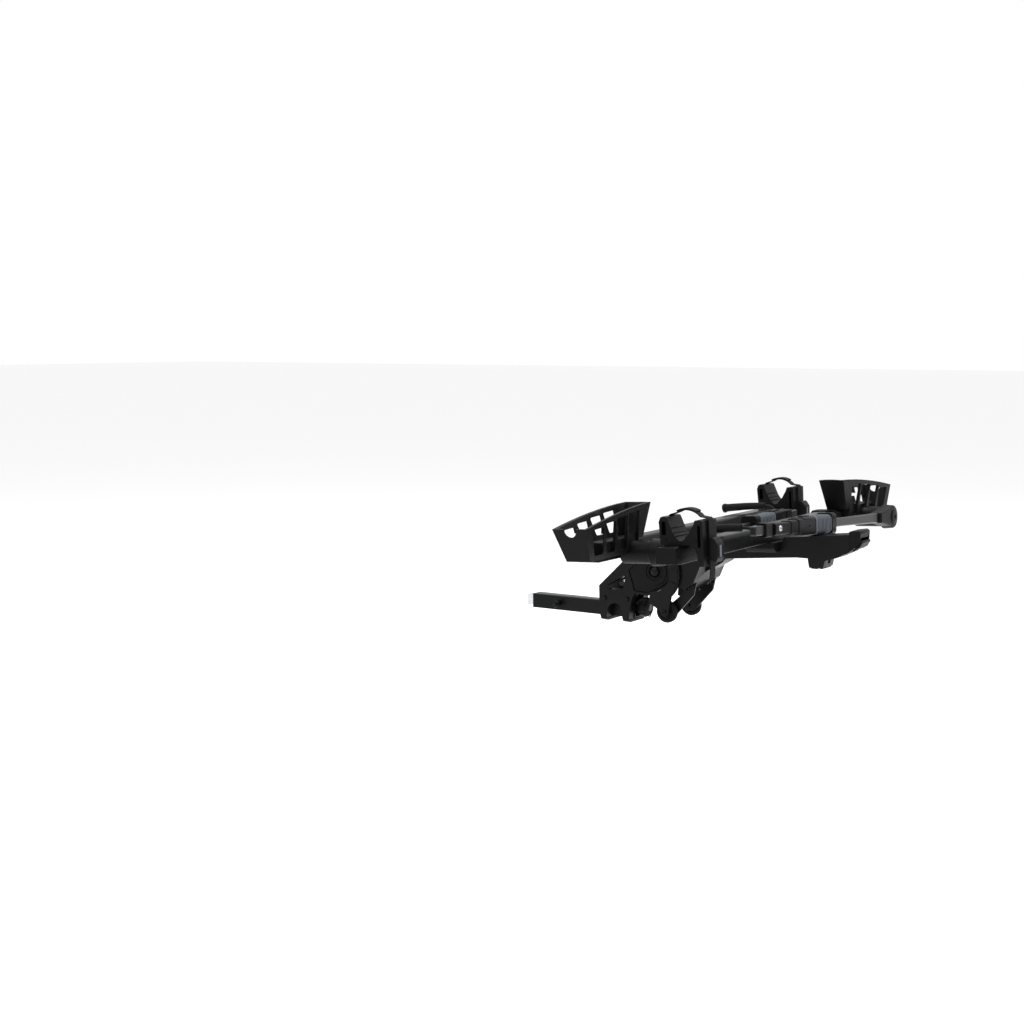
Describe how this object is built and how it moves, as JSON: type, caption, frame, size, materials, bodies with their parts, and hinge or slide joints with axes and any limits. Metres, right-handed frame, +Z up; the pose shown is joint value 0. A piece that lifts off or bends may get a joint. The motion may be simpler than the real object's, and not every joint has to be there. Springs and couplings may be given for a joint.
{
  "type": "hitch mounted bike rack",
  "caption": "Folding hitch rack: tongue, tilting platform, cross beams with tyre cradles, sliding strap holders and ratchet arms with hooks.",
  "frame": {"origin": "on the tongue's underside, on the middle plane, where the tongue enters the receiver", "axes": "+X points away from the car, +Y to the car's right, +Z up; the platform stands level-ish, 3.2 degrees rear-up"},
  "size_m": [1.2572, 1.718, 0.4798],
  "materials": {
    "steel_coat": "satin black powder coat",
    "alloy_coat": "satin black powder coat",
    "black_plastic": "fine-grained moulding",
    "rubber": "matt",
    "grey_tube": "dark grey satin",
    "grey_grip": "ribbed, blue-grey",
    "silver": "plated"
  },
  "bodies": {
    "root": {"hitch_tongue": "steel_coat", "bracket_left": "steel_coat", "bracket_right": "steel_coat", "hub_cover_left": "black_plastic", "hub_cover_right": "black_plastic", "pivot_bolt": "steel_coat", "foot_front": "steel_coat", "foot_rear": "steel_coat", "bracket_bolt_front": "steel_coat", "bracket_bolt_rear": "steel_coat"},
    "hitch_pin": {"hitch_pin": "steel_coat"},
    "pin_clip": {"pin_clip": "steel_coat"},
    "knob": {"tension_knob": "black_plastic", "draw_bolt": "silver", "knob_insert": "grey_grip"},
    "wedge": {"expander_wedge": "silver"},
    "platform": {"spine": "alloy_coat", "tail_cover": "black_plastic", "beam_front": "alloy_coat", "beam_cap_front": "black_plastic", "beam_clamp_front": "black_plastic", "cradle_front": "black_plastic", "cradle_saddle_front": "black_plastic", "arm_housing_front": "black_plastic", "beam_rear": "alloy_coat", "beam_cap_rear": "black_plastic", "beam_clamp_rear": "black_plastic", "cradle_rear": "black_plastic", "cradle_saddle_rear": "black_plastic", "arm_housing_rear": "black_plastic", "rotor_left": "alloy_coat", "wheel_fork_left": "steel_coat", "wheel_axle_left": "steel_coat", "rotor_right": "alloy_coat", "wheel_fork_right": "steel_coat", "wheel_axle_right": "steel_coat"},
    "release_rod": {"release_rod": "silver"},
    "tilt_lever": {"tilt_lever": "black_plastic"},
    "wheel_left": {"wheel_left": "rubber"},
    "wheel_right": {"wheel_right": "rubber"},
    "holder_front": {"holder_front": "black_plastic", "strap_front": "rubber"},
    "buckle_front": {"buckle_front": "black_plastic"},
    "arm_front": {"knuckle_front": "black_plastic", "arm_front": "grey_tube"},
    "carriage_front": {"carriage_front": "black_plastic", "grip_front": "grey_grip", "hook_front": "black_plastic", "hook_sleeve_front": "rubber"},
    "holder_rear": {"holder_rear": "black_plastic", "strap_rear": "rubber"},
    "buckle_rear": {"buckle_rear": "black_plastic"},
    "arm_rear": {"knuckle_rear": "black_plastic", "arm_rear": "grey_tube"},
    "carriage_rear": {"carriage_rear": "black_plastic", "grip_rear": "grey_grip", "hook_rear": "black_plastic", "hook_sleeve_rear": "rubber", "lock_housing_rear": "black_plastic"}
  },
  "joints": [
    {"name": "hitch_pin_pull", "type": "slide", "parent": "root", "child": "hitch_pin", "axis": [0, 1, 0], "range_m": [0, 0.1]},
    {"name": "pin_clip_pull", "type": "slide", "parent": "root", "child": "pin_clip", "axis": [0, -1, 0], "range_m": [0, 0.03]},
    {"name": "knob_turn", "type": "hinge", "parent": "root", "child": "knob", "pos_m": [0.235, 0, 0.0381], "axis": [1, 0, 0], "range_deg": [0, 1080]},
    {"name": "wedge_draw", "type": "slide", "parent": "root", "child": "wedge", "axis": [1, 0, 0], "range_m": [0, 0.0045]},
    {"name": "platform_tilt", "type": "hinge", "parent": "root", "child": "platform", "pos_m": [0.343, 0, 0.1774], "axis": [0, -1, 0], "range_deg": [-38, 87]},
    {"name": "release_rod_slide", "type": "slide", "parent": "platform", "child": "release_rod", "axis": [0.9984, 0, 0.0558], "range_m": [0, 0.012], "stiffness_N_per_m": 300, "springref_m": -0.03},
    {"name": "tilt_lever_pull", "type": "hinge", "parent": "platform", "child": "tilt_lever", "pos_m": [1.0224, 0, 0.31454], "axis": [0, 1, 0], "range_deg": [0, 20]},
    {"name": "wheel_left_roll", "type": "hinge", "parent": "platform", "child": "wheel_left", "pos_m": [0.39276, -0.088, 0.04697], "axis": [0, 1, 0], "continuous": true},
    {"name": "wheel_right_roll", "type": "hinge", "parent": "platform", "child": "wheel_right", "pos_m": [0.39276, 0.088, 0.04697], "axis": [0, 1, 0], "continuous": true},
    {"name": "holder_front_slide", "type": "slide", "parent": "platform", "child": "holder_front", "axis": [0, -1, 0], "range_m": [-0.006, 0.1]},
    {"name": "buckle_front_flip", "type": "hinge", "parent": "holder_front", "child": "buckle_front", "pos_m": [0.56241, 0.632, 0.35893], "axis": [0, -1, 0], "range_deg": [0, 100]},
    {"name": "arm_front_raise", "type": "hinge", "parent": "platform", "child": "arm_front", "pos_m": [0.6052, -0.545, 0.31185], "axis": [0.9984, 0, 0.0558], "range_deg": [0, 95]},
    {"name": "carriage_front_slide", "type": "slide", "parent": "arm_front", "child": "carriage_front", "axis": [-0.0016, 0.9996, 0.0279], "range_m": [-0.16, 0.05]},
    {"name": "holder_rear_slide", "type": "slide", "parent": "platform", "child": "holder_rear", "axis": [0, 1, 0], "range_m": [-0.006, 0.1]},
    {"name": "buckle_rear_flip", "type": "hinge", "parent": "holder_rear", "child": "buckle_rear", "pos_m": [0.83398, -0.632, 0.37411], "axis": [0, -1, 0], "range_deg": [0, 100]},
    {"name": "arm_rear_raise", "type": "hinge", "parent": "platform", "child": "arm_rear", "pos_m": [0.87678, 0.657, 0.32703], "axis": [-0.9984, 0, -0.0558], "range_deg": [0, 95]},
    {"name": "carriage_rear_slide", "type": "slide", "parent": "arm_rear", "child": "carriage_rear", "axis": [-0.0029, -0.9986, 0.0523], "range_m": [-0.1, 0.035]}
  ],
  "couplings": [
    {"joint": "wedge_draw", "follows": "knob_turn", "m_per_rad": 0.0002385},
    {"joint": "tilt_lever_pull", "follows": "release_rod_slide", "rad_per_m": 29}
  ]
}
